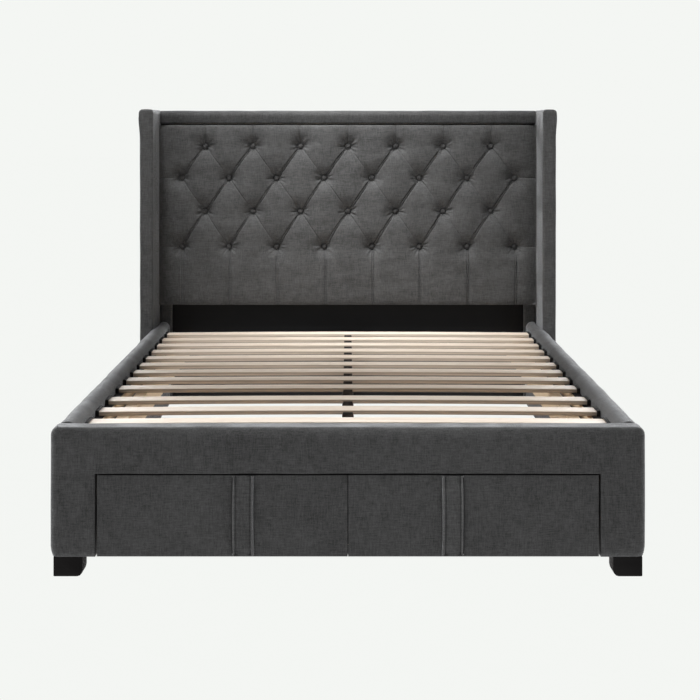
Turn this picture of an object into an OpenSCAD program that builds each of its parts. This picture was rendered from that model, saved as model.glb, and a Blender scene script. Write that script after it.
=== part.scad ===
// Double bed base with a winged, deep-buttoned headboard and two storage drawers
// that open at the foot end. Millimetres, +Z up, floor at Z = 0, foot end towards -Y.

/* [Base] */
// Width over the side rails
bed_width = 1510; // [1450:10:1560]
// Length from the foot end's face to the headboard's back
bed_length = 2100; // [2060:10:2200]
// Height of the rails' top edge
rail_top = 376; // [364:2:400]
// Height of the feet, which is also the clear height under the headboard and the rails
foot_height = 51; // [40:1:60]
// Thickness of an upholstered side rail
rail_thickness = 55; // [50:1:65]
// Thickness of the upholstered foot end
foot_end_thickness = 80; // [70:1:90]
// Radius of the side rails' top edges
rail_round = 26; // [12:1:27]
// Width of each block foot
foot_width = 74; // [60:1:90]

/* [Headboard] */
// Height of the headboard's top edge
headboard_height = 1207; // [1100:1:1300]
// Thickness of the headboard behind its padded front
headboard_thickness = 65; // [60:1:70]
// Thickness of the buttoned pad
pad_thickness = 40; // [30:1:50]
// Height of the pad's lower edge
pad_bottom = 446; // [420:1:480]
// Height of the plain border above the pad
border_height = 57; // [40:1:80]
// Clear width between the wings
wing_gap = 1480; // [1470:1:1482]
// Thickness of a wing
wing_thickness = 51; // [45:1:60]
// Depth of a wing from front to back
wing_depth = 270; // [240:5:320]
// Sideways spacing of the buttons in one row
button_pitch = 186.8; // [170:0.1:190]
// Heights of the rows of buttons, from the lowest up
button_rows = [674, 813, 944, 1068]; // [600:1:1100]
// Diameter of a button
button_d = 20; // [14:0.5:24]

/* [Slats] */
// Number of slats in the rear zone
rear_slats = 9; // [6:1:9]
// Distance between the front edges of two rear slats
rear_pitch = 144; // [120:1:144]
// Number of slats in the front zone
front_slats = 3; // [1:1:3]
// Distance between the front edges of two front slats
front_pitch = 160; // [120:1:160]
// Width of one slat
slat_width = 65; // [50:1:68]
// Thickness of one slat
slat_thickness = 12; // [8:1:14]
// Height of the slats' top faces at their ends
slat_end_top = 349; // [340:1:360]
// Upward bow of a slat at mid width
slat_bow = 4; // [0:1:6]

/* [Drawers] */
// Width of the opening that the two drawer fronts share
drawer_opening = 1279; // [1240:1:1280]
// Gap at each outer side of the drawer fronts
front_gap = 5.5; // [3:0.5:8]
// Gap between the two drawer fronts
centre_gap = 2; // [2:0.5:4]
// Height of the drawer fronts' top edge
front_top = 258.5; // [240:0.5:259]
// Depth of a drawer box behind its front
box_depth = 690; // [600:10:700]
// Height of a drawer box's sides
box_height = 146; // [120:1:150]
// Centre of a strap pull, from the middle of the bed
pull_x = 265; // [240:1:400]
// Width of a strap pull
pull_width = 54; // [40:1:60]
// Finger space behind a strap pull
pull_bow = 9; // [8:0.5:12]

/* [Hidden] */

$fn = 64;
cut = 1;                        // how far a cutter runs past a face
left = -1;
right = 1;

charcoal = [0.25, 0.26, 0.27];
pine = [0.85, 0.76, 0.63];
birch = [0.93, 0.86, 0.77];
black = [0.08, 0.08, 0.08];
steel = [0.70, 0.71, 0.73];

// Lengthways, the strap pulls stand proud of the foot end, and the origin is mid length.
strap_thickness = 2.5;
proud = pull_bow + strap_thickness;
front = -(bed_length + proud) / 2 + proud;
back = front + bed_length;
half_width = bed_width / 2;
padding = 12;                   // foam and cloth over a board

// Headboard
half_gap = wing_gap / 2;
cloth = 3;                      // thickness of the dust cloth at the back
border_y = back - headboard_thickness;
pad_front = border_y - pad_thickness;
pad_top = headboard_height - border_height;
wing_front = back - wing_depth;
stile_width = 47;
stile_padding = 10;
panel_half = half_gap - stile_width;
button_depth = 14;              // how far a button's pocket sinks into the pad
button_rise = 6;                // height of a button's head above the foot of its pocket
panel_thickness = 12;
lower_panel_thickness = 6;
cross_rail_set_back = 17;       // from the headboard's front plane to its cross rails
mid_rail = [400, 460];          // heights of the cross rails' lower and upper edges
bottom_rail = [foot_height, 111];
wing_padding = 14;              // from a wing's faces to its board
cord_radius = 1.5;              // hole for a button's cord

// Rails
rail_inner = half_width - rail_thickness;
rail_front = front + foot_end_thickness;
rail_board = 25;
foot_round = 20;
foot_inset = 9;
foot_depth = 62;
rear_foot_y = front + 1700;     // just ahead of the wings
foot_core_in = 16;              // from the foot end's faces to its timber
foot_core_top = rail_top - 18;
lintel_core = 10;               // from the drawer opening up to the timber
wing_fit = 0.5;                 // gap between a wing and what it closes against

// Slats
ledge_width = 28;
ledge_height = 33;
holder_base = 4;
slat_half = rail_inner - 6;
slat_clear = 0.3;
first_front_slat = 197;         // from the foot end's face to the first slat of each zone
first_rear_slat = 704;
slat_places = concat(
    [for (i = [0:front_slats - 1]) front + first_front_slat + i * front_pitch],
    [for (i = [0:rear_slats - 1]) front + first_rear_slat + i * rear_pitch]
);
ledge_top = slat_end_top - slat_thickness - holder_base;
beam_drop = 28;                 // from the slats' ends down to the beam's top
beam_width = 30;
beam_height = 62;
beam_top = slat_end_top - beam_drop;
beam_wall = 1.5;
leg_places = [front + 830, front + 1450];
leg_radius = 12;
leg_cap = 8;                    // height of the wider cap under a leg

// Drawers
front_thickness = 26;
front_padding = 8;
front_bottom = foot_height + 2;
front_low = centre_gap / 2;
front_high = drawer_opening / 2 - front_gap;
opening_top = front_top + 3.5;
box_y = front + front_thickness;
box_z = 74;
side_thickness = 12;
bottom_thickness = 6;
runner_gap = 13;                // space for one telescopic runner
runner_length = 650;
runner_y = front + 60;
runner_z = 130;
runner_wall = 1.2;
runner_outer = [0, 9, 22.5];    // set-in, depth and half height of each runner channel
runner_middle = [3, 8, 18.7];
runner_inner = [0, 6.5, 14.2];
divider_half = 9;
board_thickness = 18;
drawer_beam_in = 622;
drawer_beam_width = 36;
drawer_beam_height = 70;
drawer_beam_z = 245;
box_in = divider_half + runner_gap;
box_out = drawer_beam_in - runner_gap;
runner_board_length = 708;
runner_board_z = foot_height + 9;

// Corner fittings
bracket_leg = 50;
bracket_wall = 3;
bracket_z = 120;
bracket_height = 110;
bolt_radius = 4;
bolt_heights = [150, 200];

// A box between two opposite corners.
module block(low, high) {
    translate(low) cube(high - low);
}

// Draws for the right side, and mirrors it for the left.
module on_side(side) {
    mirror([side < 0 ? 1 : 0, 0, 0]) children();
}

// A 2-D rectangle whose corners, in the order [low-low, high-low, high-high, low-high],
// have their own radii.
module soft_rectangle(low, high, radii) {
    difference() {
        translate(low) square(high - low);
        if (radii[0] > 0) corner_waste([low[0], low[1]], radii[0], [1, 1]);
        if (radii[1] > 0) corner_waste([high[0], low[1]], radii[1], [-1, 1]);
        if (radii[2] > 0) corner_waste([high[0], high[1]], radii[2], [-1, -1]);
        if (radii[3] > 0) corner_waste([low[0], high[1]], radii[3], [1, -1]);
    }
}

// What a rounded corner leaves out of a square one.
module corner_waste(corner, radius, inward) {
    translate(corner) scale([inward[0], inward[1], 1]) difference() {
        translate([-cut, -cut]) square(radius + cut);
        translate([radius, radius]) circle(r = radius);
    }
}

// Extrudes a 2-D shape drawn as (X, Z) from y0 to y1.
module along_y(y0, y1) {
    translate([0, y1, 0]) rotate([90, 0, 0]) linear_extrude(y1 - y0) children();
}

// Extrudes a 2-D shape drawn as (Y, Z) from x0 to x1.
module along_x(x0, x1) {
    translate([x0, 0, 0]) rotate([90, 0, 90]) linear_extrude(x1 - x0) children();
}

// Extrudes a 2-D shape drawn as (X, Y) from z0 to z1.
module along_z(z0, z1) {
    translate([0, 0, z0]) linear_extrude(z1 - z0) children();
}

// ---- Headboard ----

module headboard_stile(side) {
    color(pine) on_side(side)
        block([panel_half + stile_padding, border_y + stile_padding, foot_height],
              [half_gap - wing_fit, back - cloth, pad_top]);
}

module headboard_top_rail() {
    color(pine)
        block([-half_gap + wing_fit, border_y + stile_padding, pad_top],
              [half_gap - wing_fit, back - cloth, headboard_height - stile_padding]);
}

module headboard_cross_rail(heights) {
    color(pine)
        block([-panel_half, border_y + cross_rail_set_back, heights[0]],
              [panel_half, back - cloth, heights[1]]);
}

module headboard_panel() {
    color(birch) difference() {
        block([-panel_half, border_y, pad_bottom],
              [panel_half, border_y + panel_thickness, pad_top]);
        button_places() rotate([-90, 0, 0]) cylinder(r = cord_radius, h = headboard_thickness);
    }
}

module headboard_lower_panel() {
    color(black)
        block([-panel_half, border_y + stile_padding, foot_height],
              [panel_half, border_y + stile_padding + lower_panel_thickness, pad_bottom]);
}

module headboard_back_cover() {
    color(black)
        block([-half_gap + wing_fit, back - cloth, foot_height],
              [half_gap - wing_fit, back, headboard_height]);
}

// Padding on the front and the inner side of a stile.
module headboard_stile_cover(side) {
    color(charcoal) on_side(side) difference() {
        block([panel_half, border_y, foot_height],
              [half_gap - wing_fit, back - cloth, pad_top]);
        block([panel_half + stile_padding, border_y + stile_padding, foot_height - cut],
              [half_gap + cut, back, pad_top + cut]);
    }
}

// Padding on the front and the top of the top rail.
module headboard_border_cover() {
    color(charcoal) along_x(-half_gap + wing_fit, half_gap - wing_fit) difference() {
        soft_rectangle([border_y, pad_top], [back - cloth, headboard_height], [0, 0, 0, 9]);
        translate([border_y + stile_padding, pad_top - cut])
            square([headboard_thickness, border_height - stile_padding + cut]);
    }
}

// Stands its children at each button's centre, on the plane of the pad's front.
module button_places() {
    for (row = [0:len(button_rows) - 1]) {
        count = row % 2 == 0 ? 8 : 7;
        for (i = [0:count - 1])
            translate([(i - (count - 1) / 2) * button_pitch, pad_front, button_rows[row]])
                children();
    }
}

module headboard_pad() {
    color(charcoal) difference() {
        along_y(pad_front, border_y)
            soft_rectangle([-half_gap + wing_fit, pad_bottom], [half_gap - wing_fit, pad_top],
                           [12, 12, 12, 12]);
        button_places() rotate([-90, 0, 0]) {
            translate([0, 0, -cut]) cylinder(r = button_d / 2 + 1, h = button_depth + cut);
            cylinder(r = cord_radius, h = pad_thickness + cut);
        }
    }
}

// Domed heads, each on a cord that runs through the pad and the panel to a toggle.
module headboard_buttons() {
    color(charcoal) button_places() rotate([-90, 0, 0]) rotate_extrude() {
        intersection() {
            translate([0, button_depth - button_rise + button_d]) circle(r = button_d);
            translate([0, button_depth - button_rise]) square([button_d / 2, button_rise]);
        }
        translate([0, button_depth - 1]) square([1.2, pad_thickness + panel_thickness + 3 - button_depth]);
        translate([0, pad_thickness + panel_thickness]) square([5, 3]);
    }
}

module wing_outline(side_inset, end_inset, top_inset, edge_radius, top_radius) {
    low_x = half_gap + side_inset;
    high_x = half_gap + wing_thickness - side_inset;
    intersection() {
        along_z(foot_height, headboard_height + 2)
            soft_rectangle([low_x, wing_front + end_inset], [high_x, back - end_inset],
                           [edge_radius, edge_radius, edge_radius, edge_radius]);
        along_y(wing_front, back)
            soft_rectangle([low_x, foot_height], [high_x, headboard_height + 2 - top_inset],
                           [0, 0, top_radius, edge_radius]);
    }
}

module wing_board(side) {
    color(pine) on_side(side) wing_outline(wing_padding, wing_padding, wing_padding, 0, 4);
}

module wing_cover(side) {
    color(charcoal) on_side(side) difference() {
        wing_outline(0, 0, 0, 9, 20);
        translate([0, 0, -cut]) wing_outline(wing_padding, wing_padding, wing_padding, 0, 4);
        wing_outline(wing_padding, wing_padding, wing_padding, 0, 4);
    }
}

// ---- Base ----

module side_rail_outline(low_x, high_x, z1, radii) {
    soft_rectangle([low_x, foot_height], [high_x, z1], radii);
}

module side_rail_board(side) {
    color(pine) on_side(side) difference() {
        along_y(rail_front, border_y)
            side_rail_outline(rail_inner + padding, rail_inner + padding + rail_board,
                              rail_top - 2 * padding, [0, 0, 0, 0]);
        corner_bolt_holes();
    }
}

// Padding round a side rail. Behind a wing's front edge it narrows to pass inside the wing.
module side_rail_cover(side) {
    color(charcoal) on_side(side) difference() {
        along_y(rail_front, border_y)
            side_rail_outline(rail_inner, half_width, rail_top, [0, 0, rail_round, rail_round]);
        along_y(rail_front - cut, border_y + cut)
            translate([rail_inner + padding, foot_height - cut])
                square([rail_board, rail_top - 2 * padding - foot_height + cut]);
        block([half_gap - wing_fit, wing_front - wing_fit, 0],
              [half_width + cut, back, rail_top + cut]);
        corner_bolt_holes();
    }
}

module foot_rail_board() {
    color(pine)
        block([-drawer_opening / 2, front + foot_core_in, opening_top + lintel_core],
              [drawer_opening / 2, rail_front - foot_core_in, foot_core_top]);
}

module foot_profile(z0) {
    soft_rectangle([front, z0], [rail_front, rail_top], [0, 0, 8, foot_round]);
}

module foot_rail_cover() {
    color(charcoal) difference() {
        along_x(-drawer_opening / 2, drawer_opening / 2) foot_profile(opening_top);
        block([-half_width, front + foot_core_in, opening_top + lintel_core],
              [half_width, rail_front - foot_core_in, foot_core_top]);
    }
}

module foot_post_core() {
    block([drawer_opening / 2 + padding, front + foot_core_in, foot_height],
          [half_width - padding, rail_front - foot_core_in, foot_core_top]);
}

module foot_post(side) {
    color(pine) on_side(side) difference() {
        foot_post_core();
        corner_bolt_holes();
    }
}

module foot_post_cover(side) {
    color(charcoal) on_side(side) difference() {
        intersection() {
            along_x(drawer_opening / 2, half_width) foot_profile(foot_height);
            along_y(front, rail_front)
                side_rail_outline(drawer_opening / 2, half_width, rail_top, [0, 0, foot_round, 0]);
            along_z(foot_height, rail_top)
                soft_rectangle([drawer_opening / 2, front], [half_width, rail_front],
                               [0, foot_round * 0.6, 0, 0]);
        }
        foot_post_core();
        translate([0, 0, -cut]) foot_post_core();
        corner_bolt_holes();
    }
}

// A block foot whose inner lower corner is eased.
module block_foot(side, y0) {
    outer = half_width - foot_inset;
    ease = 14;
    color(black) on_side(side) along_y(y0, y0 + foot_depth) polygon([
        [outer, 0],
        [outer, foot_height],
        [outer - foot_width, foot_height],
        [outer - foot_width, ease * 1.2],
        [outer - foot_width + ease * 0.15, ease * 0.55],
        [outer - foot_width + ease * 0.5, ease * 0.15],
        [outer - foot_width + ease, 0]
    ]);
}

// ---- Slats and what carries them ----

module slat_ledge(side) {
    color(pine) on_side(side)
        block([rail_inner - ledge_width, rail_front + 4, ledge_top - ledge_height],
              [rail_inner, border_y - 4, ledge_top]);
}

// A strip with one pocket for each slat's end.
module slat_holders(side) {
    pocket_in = slat_half - 4;
    roof = 3;
    cheek = 4;
    color(black) on_side(side) difference() {
        union() {
            block([rail_inner - ledge_width + 6, rail_front + 20, ledge_top],
                  [rail_inner, border_y - 10, ledge_top + holder_base - slat_clear]);
            for (y = slat_places)
                block([pocket_in, y - cheek, ledge_top],
                      [rail_inner, y + slat_width + cheek, slat_end_top + slat_clear + roof]);
        }
        for (y = slat_places)
            block([0, y - slat_clear, ledge_top + holder_base - slat_clear],
                  [slat_half + slat_clear, y + slat_width + slat_clear, slat_end_top + 1.4]);
    }
}

// Height of a slat's top face at x, a shallow arch.
function slat_height(x) = slat_end_top + slat_bow * (1 - pow(x / slat_half, 2));

module slats() {
    steps = 12;
    top = [for (i = [-steps:steps]) [i * slat_half / steps, slat_height(i * slat_half / steps)]];
    bottom = [for (i = [steps:-1:-steps]) top[i + steps] - [0, slat_thickness]];
    color(birch) for (y = slat_places) along_y(y, y + slat_width) polygon(concat(top, bottom));
}

// A steel box section down the middle.
module centre_beam() {
    color(black) difference() {
        block([-beam_width / 2, rail_front, beam_top - beam_height],
              [beam_width / 2, border_y + stile_padding, beam_top]);
        block([-beam_width / 2 + beam_wall, rail_front - cut, beam_top - beam_height + beam_wall],
              [beam_width / 2 - beam_wall, back, beam_top - beam_wall]);
    }
}

module centre_legs() {
    color(black) for (y = leg_places) translate([0, y, 0]) {
        cylinder(r = leg_radius + 4, h = leg_cap);
        translate([0, 0, leg_cap])
            cylinder(r = leg_radius, h = beam_top - beam_height - leg_cap);
    }
}

// A tapered seat under the middle of each slat, with a lip in front of it and behind it.
module centre_slat_seats() {
    low_half = 16.5;
    high_half = 13.5;
    foot = 5;
    lip = 3;
    lip_rise = 7;
    seat_top = slat_height(high_half) - slat_thickness;
    color(black) for (y = slat_places) difference() {
        along_y(y - lip, y + slat_width + lip) polygon([
            [-low_half, beam_top],
            [low_half, beam_top],
            [low_half, beam_top + foot],
            [high_half, seat_top + lip_rise],
            [-high_half, seat_top + lip_rise],
            [-low_half, beam_top + foot]
        ]);
        block([-low_half, y - slat_clear, seat_top],
              [low_half, y + slat_width + slat_clear, seat_top + lip_rise + cut]);
    }
}

// ---- Drawer supports and runners ----

module drawer_beam(side) {
    color(pine) on_side(side)
        block([drawer_beam_in, rail_front, drawer_beam_z],
              [drawer_beam_in + drawer_beam_width, border_y + stile_padding,
               drawer_beam_z + drawer_beam_height]);
}

// Upright boards that carry the runners: one under each side beam and one between the drawers.
module runner_boards() {
    y1 = rail_front + runner_board_length;
    color(pine) {
        for (side = [left, right]) on_side(side)
            block([drawer_beam_in, rail_front, runner_board_z],
                  [drawer_beam_in + board_thickness, y1, drawer_beam_z]);
        block([-divider_half, rail_front, runner_board_z], [divider_half, y1, beam_top - beam_height]);
    }
}

// One runner channel along Y, open towards +X.
module channel(size) {
    x0 = size[0];
    depth = size[1];
    half_height = size[2];
    along_y(runner_y, runner_y + runner_length) difference() {
        translate([x0, runner_z - half_height]) square([depth, 2 * half_height]);
        translate([x0 + runner_wall, runner_z - half_height + runner_wall])
            square([depth, 2 * (half_height - runner_wall)]);
    }
}

// Stands at a runner's fixing face, with +X pointing towards the drawer's side.
module at_runner(outer) {
    if (outer) translate([drawer_beam_in, 0, 0]) mirror([1, 0, 0]) children();
    else translate([divider_half, 0, 0]) children();
}

module drawer_runner_rails() {
    color(steel) for (side = [left, right]) on_side(side) for (outer = [true, false])
        at_runner(outer) channel(runner_outer);
}

module runner_middles(side) {
    color(steel) on_side(side) for (outer = [true, false])
        at_runner(outer) channel(runner_middle);
}

module drawer_slides(side) {
    color(steel) on_side(side) for (outer = [true, false])
        at_runner(outer) translate([runner_gap, 0, 0]) mirror([1, 0, 0]) channel(runner_inner);
}

// ---- Corner fittings ----

module corner_bolt(radius, length, head) {
    translate([0, 0, -head]) cylinder(r = radius, h = length + head);
    if (head > 0) translate([0, 0, -head]) cylinder(r = 2 * radius, h = head);
}

// Where the bolts go, on the right side: into the rail at both ends, and into the foot post.
module corner_bolt_places() {
    for (z = bolt_heights) {
        for (y = [rail_front + 30, border_y - 30])
            translate([rail_inner - bracket_wall, y, z]) rotate([0, 90, 0]) children();
        translate([rail_inner - 30, rail_front + bracket_wall, z]) rotate([90, 0, 0]) children();
    }
}

module corner_bolt_holes() {
    corner_bolt_places() corner_bolt(bolt_radius + 0.05, 36, 0);
}

module bracket_plates() {
    top = bracket_z + bracket_height;
    for (y = [rail_front, border_y - bracket_leg])
        block([rail_inner - bracket_wall, y, bracket_z], [rail_inner, y + bracket_leg, top]);
    block([rail_inner - bracket_leg, rail_front, bracket_z],
          [rail_inner, rail_front + bracket_wall, top]);
}

// Steel angles inside the corners, with their bolts.
module corner_hardware() {
    color(steel) for (side = [left, right]) on_side(side) {
        difference() {
            bracket_plates();
            corner_bolt_holes();
        }
        corner_bolt_places() corner_bolt(bolt_radius, 35, 4);
    }
}

// ---- Drawers ----

module front_core() {
    block([front_low + front_padding, front + front_padding, front_bottom + front_padding],
          [front_high - front_padding, box_y, front_top - front_padding]);
}

module drawer_front_board(side) {
    color(pine) on_side(side) front_core();
}

module drawer_front_cover(side) {
    edge = 5;
    color(charcoal) on_side(side) difference() {
        intersection() {
            along_x(front_low, front_high)
                soft_rectangle([front, front_bottom], [box_y, front_top], [edge, 0, 0, edge]);
            along_z(front_bottom, front_top)
                soft_rectangle([front_low, front], [front_high, box_y], [1, edge, 0, 0]);
        }
        front_core();
        translate([0, cut, 0]) front_core();
    }
}

module drawer_sides(side) {
    color(pine) on_side(side) for (x = [box_in, box_out - side_thickness])
        block([x, box_y, box_z], [x + side_thickness, box_y + box_depth, box_z + box_height]);
}

module drawer_back(side) {
    color(pine) on_side(side)
        block([box_in + side_thickness, box_y + box_depth - side_thickness, box_z],
              [box_out - side_thickness, box_y + box_depth, box_z + box_height]);
}

module drawer_bottom(side) {
    color(birch) on_side(side)
        block([box_in + side_thickness, box_y, box_z + 2],
              [box_out - side_thickness, box_y + box_depth - side_thickness,
               box_z + 2 + bottom_thickness]);
}

// A strap sewn down at both ends, which stands off the front in a shallow arch.
module drawer_pull(side) {
    seam = 12;
    end_gap = 1;
    steps = 16;
    low = front_bottom + seam;
    rise = front_top - front_bottom - 2 * seam;
    arch = [for (i = [0:steps]) let (t = i / steps)
        [front - 4 * pull_bow * t * (1 - t), low + rise * t]];
    outer = [for (i = [steps:-1:0]) arch[i] - [strap_thickness, 0]];
    color(charcoal) on_side(side)
        along_x(pull_x - pull_width / 2, pull_x + pull_width / 2)
            polygon(concat(
                [[front, front_bottom + end_gap]], arch, [[front, front_top - end_gap]],
                [[front - strap_thickness, front_top - end_gap]], outer,
                [[front - strap_thickness, front_bottom + end_gap]]
            ));
}

headboard_stile(left);  // headboard_stile_left
headboard_stile(right);  // headboard_stile_right
headboard_top_rail();
headboard_cross_rail(mid_rail);  // headboard_mid_rail
headboard_cross_rail(bottom_rail);  // headboard_bottom_rail
headboard_panel();
headboard_lower_panel();
headboard_back_cover();
headboard_stile_cover(left);  // headboard_stile_cover_left
headboard_stile_cover(right);  // headboard_stile_cover_right
headboard_border_cover();
headboard_pad();
headboard_buttons();
wing_board(left);  // wing_board_left
wing_board(right);  // wing_board_right
wing_cover(left);  // wing_cover_left
wing_cover(right);  // wing_cover_right
side_rail_board(left);  // side_rail_board_left
side_rail_board(right);  // side_rail_board_right
side_rail_cover(left);  // side_rail_cover_left
side_rail_cover(right);  // side_rail_cover_right
foot_rail_board();
foot_rail_cover();
foot_post(left);  // foot_post_left
foot_post(right);  // foot_post_right
foot_post_cover(left);  // foot_post_cover_left
foot_post_cover(right);  // foot_post_cover_right
block_foot(left, front + foot_inset);  // front_foot_left
block_foot(right, front + foot_inset);  // front_foot_right
block_foot(left, rear_foot_y);  // rear_foot_left
block_foot(right, rear_foot_y);  // rear_foot_right
slat_ledge(left);  // slat_ledge_left
slat_ledge(right);  // slat_ledge_right
slat_holders(left);  // slat_holders_left
slat_holders(right);  // slat_holders_right
slats();
centre_beam();
centre_legs();
centre_slat_seats();
drawer_beam(left);  // drawer_beam_left
drawer_beam(right);  // drawer_beam_right
runner_boards();
drawer_runner_rails();
corner_hardware();
drawer_front_board(left);  // drawer_left_front_board
drawer_front_cover(left);  // drawer_left_front_cover
drawer_sides(left);  // drawer_left_sides
drawer_back(left);  // drawer_left_back
drawer_bottom(left);  // drawer_left_bottom
drawer_pull(left);  // drawer_left_pull
drawer_slides(left);  // drawer_left_slides
drawer_front_board(right);  // drawer_right_front_board
drawer_front_cover(right);  // drawer_right_front_cover
drawer_sides(right);  // drawer_right_sides
drawer_back(right);  // drawer_right_back
drawer_bottom(right);  // drawer_right_bottom
drawer_pull(right);  // drawer_right_pull
drawer_slides(right);  // drawer_right_slides
runner_middles(left);  // runner_middles_left
runner_middles(right);  // runner_middles_right
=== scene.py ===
"""The looks of the winged storage bed: upholstery, slats, feet, pulls, materials and light.

Everything is in metres, in the CAD model's own frame: +Z up, the foot end towards -Y, the
floor at Z = 0. Places and sizes come from the CAD nodes' boxes.
"""

import math

import bmesh
import bpy
import numpy as np
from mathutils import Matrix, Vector


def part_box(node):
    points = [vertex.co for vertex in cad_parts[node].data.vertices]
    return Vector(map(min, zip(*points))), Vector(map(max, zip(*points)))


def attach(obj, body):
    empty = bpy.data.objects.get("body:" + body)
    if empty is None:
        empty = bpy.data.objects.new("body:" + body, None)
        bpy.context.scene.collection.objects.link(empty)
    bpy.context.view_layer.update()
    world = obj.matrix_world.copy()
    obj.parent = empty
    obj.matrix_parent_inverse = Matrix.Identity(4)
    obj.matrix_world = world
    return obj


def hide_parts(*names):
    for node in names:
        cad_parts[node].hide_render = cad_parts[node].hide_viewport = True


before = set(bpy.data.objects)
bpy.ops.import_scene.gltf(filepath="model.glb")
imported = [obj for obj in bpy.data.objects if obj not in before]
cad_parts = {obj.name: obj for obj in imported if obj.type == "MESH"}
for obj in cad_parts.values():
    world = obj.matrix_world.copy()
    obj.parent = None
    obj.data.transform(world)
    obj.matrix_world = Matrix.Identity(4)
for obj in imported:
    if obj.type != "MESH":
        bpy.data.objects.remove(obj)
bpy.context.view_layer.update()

MM = 0.001
LEFT, RIGHT = -1, 1
SIDES = ((LEFT, "left"), (RIGHT, "right"))


# ---------------- numbers and noise

def ripple(points, wavelength, seed, octaves=7):
    """Smooth noise of about -1 to 1 at each point, from a few sine waves in random directions."""
    rng = np.random.default_rng(seed)
    points = np.asarray(points, float)
    total = np.zeros(len(points))
    for _ in range(octaves):
        direction = rng.normal(size=3)
        direction /= np.linalg.norm(direction)
        length = wavelength * rng.uniform(0.6, 1.6)
        phase = rng.uniform(0, 2 * math.pi)
        total += np.sin(points @ direction * (2 * math.pi / length) + phase)
    return total / math.sqrt(octaves) * 0.8


def face_ripple(x, z, wavelength, seed):
    """The same noise over a face that lies across Y."""
    return ripple(np.column_stack([x, 0 * x, z]), wavelength, seed)


def mm(*values):
    """Numbers in millimetres, in metres."""
    return tuple(value * MM for value in values)


def spread(start, end, step):
    """Evenly spaced numbers from start to end, about one step apart."""
    count = max(2, int(round(abs(end - start) / step)) + 1)
    return np.linspace(start, end, count)


def eased_ends(start, end, radius, step, turns=5):
    """Stations along a bar, and how far its outline is drawn in at each, for two round ends."""
    angles = np.linspace(0, math.pi / 2, turns)
    from_end = radius * (1 - np.cos(angles))
    drawn_in = radius * (1 - np.sin(angles))
    places = np.concatenate([
        start + from_end, spread(start + radius, end - radius, step)[1:-1], end - from_end[::-1]])
    insets = np.concatenate([drawn_in, np.zeros(len(places) - 2 * turns), drawn_in[::-1]])
    return places, insets


# ---------------- mesh helpers

def make_object(name, points, faces, material, smooth=True):
    """A mesh object with outward normals and no doubled points."""
    mesh = bpy.data.meshes.new(name)
    mesh.from_pydata([tuple(p) for p in points], [], [tuple(f) for f in faces])
    work = bmesh.new()
    work.from_mesh(mesh)
    bmesh.ops.remove_doubles(work, verts=work.verts, dist=2e-6)
    bmesh.ops.recalc_face_normals(work, faces=work.faces)
    for face in work.faces:
        face.smooth = smooth
    work.to_mesh(mesh)
    work.free()
    mesh.materials.append(material)
    obj = bpy.data.objects.new(name, mesh)
    bpy.context.scene.collection.objects.link(obj)
    return obj


def get_points(obj):
    flat = np.empty(len(obj.data.vertices) * 3)
    obj.data.vertices.foreach_get("co", flat)
    return flat.reshape(-1, 3)


def set_points(obj, points):
    obj.data.vertices.foreach_set("co", np.asarray(points, float).ravel())
    obj.data.update()


def get_normals(obj):
    flat = np.empty(len(obj.data.vertices) * 3)
    obj.data.vertex_normals.foreach_get("vector", flat)
    return flat.reshape(-1, 3)


def wobble(obj, amount, wavelength, seed):
    """Lets a surface rise and sink a little, as stretched cloth over foam does."""
    points = get_points(obj)
    shift = amount * ripple(points, wavelength, seed)
    set_points(obj, points + get_normals(obj) * shift[:, None])


def rounded(low, high, radii, counts, inset=0.0, turns=6):
    """Points round a rectangle with its own radius at each corner, anticlockwise from low-low."""
    low = np.asarray(low, float) + inset
    high = np.asarray(high, float) - inset
    corners = [low, (high[0], low[1]), high, (low[0], high[1])]
    inward = [(1, 1), (-1, 1), (-1, -1), (1, -1)]
    ring = []
    for i in range(4):
        radius = max(radii[i] - inset, 0.4 * MM)
        centre = np.add(corners[i], np.multiply(inward[i], radius))
        begin = math.pi + i * math.pi / 2
        for angle in np.linspace(begin, begin + math.pi / 2, turns):
            ring.append(centre + radius * np.array([math.cos(angle), math.sin(angle)]))
        following = (i + 1) % 4
        next_radius = max(radii[following] - inset, 0.4 * MM)
        next_centre = np.add(corners[following], np.multiply(inward[following], next_radius))
        target = next_centre + next_radius * np.array([
            math.cos(begin + math.pi / 2), math.sin(begin + math.pi / 2)])
        here = ring[-1]
        for share in np.linspace(0, 1, counts[i] + 2)[1:-1]:
            ring.append(here + (target - here) * share)
    return np.array(ring)


AXIS_ORDER = {"x": (2, 0, 1), "y": (0, 2, 1), "z": (0, 1, 2)}


def place_ring(ring, along, axis):
    """A 2-D ring as 3-D points, at one station along an axis."""
    flat = np.column_stack([ring, np.full(len(ring), along)])
    return flat[:, AXIS_ORDER[axis]]


def ring_faces(rings, around, start=0):
    """Quads between neighbouring rings of points, numbered ring by ring."""
    found = []
    for i in range(rings - 1):
        low, high = start + i * around, start + (i + 1) * around
        for j in range(around):
            k = (j + 1) % around
            found.append((low + j, low + k, high + k, high + j))
    return found


def loft(name, rings, material, cap=(0.82, 0.5, 0.15)):
    """A closed skin over rings of equal length, with each end closed by shrinking rings."""
    def closing(ring):
        middle = ring.mean(0)
        return [middle + (ring - middle) * share for share in cap]

    rings = closing(rings[0])[::-1] + list(rings) + closing(rings[-1])
    count = len(rings[0])
    faces = ring_faces(len(rings), count)
    faces.append(tuple(range(count)))
    faces.append(tuple(range((len(rings) - 1) * count, len(rings) * count)))
    return make_object(name, np.concatenate(rings), faces, material)


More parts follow.
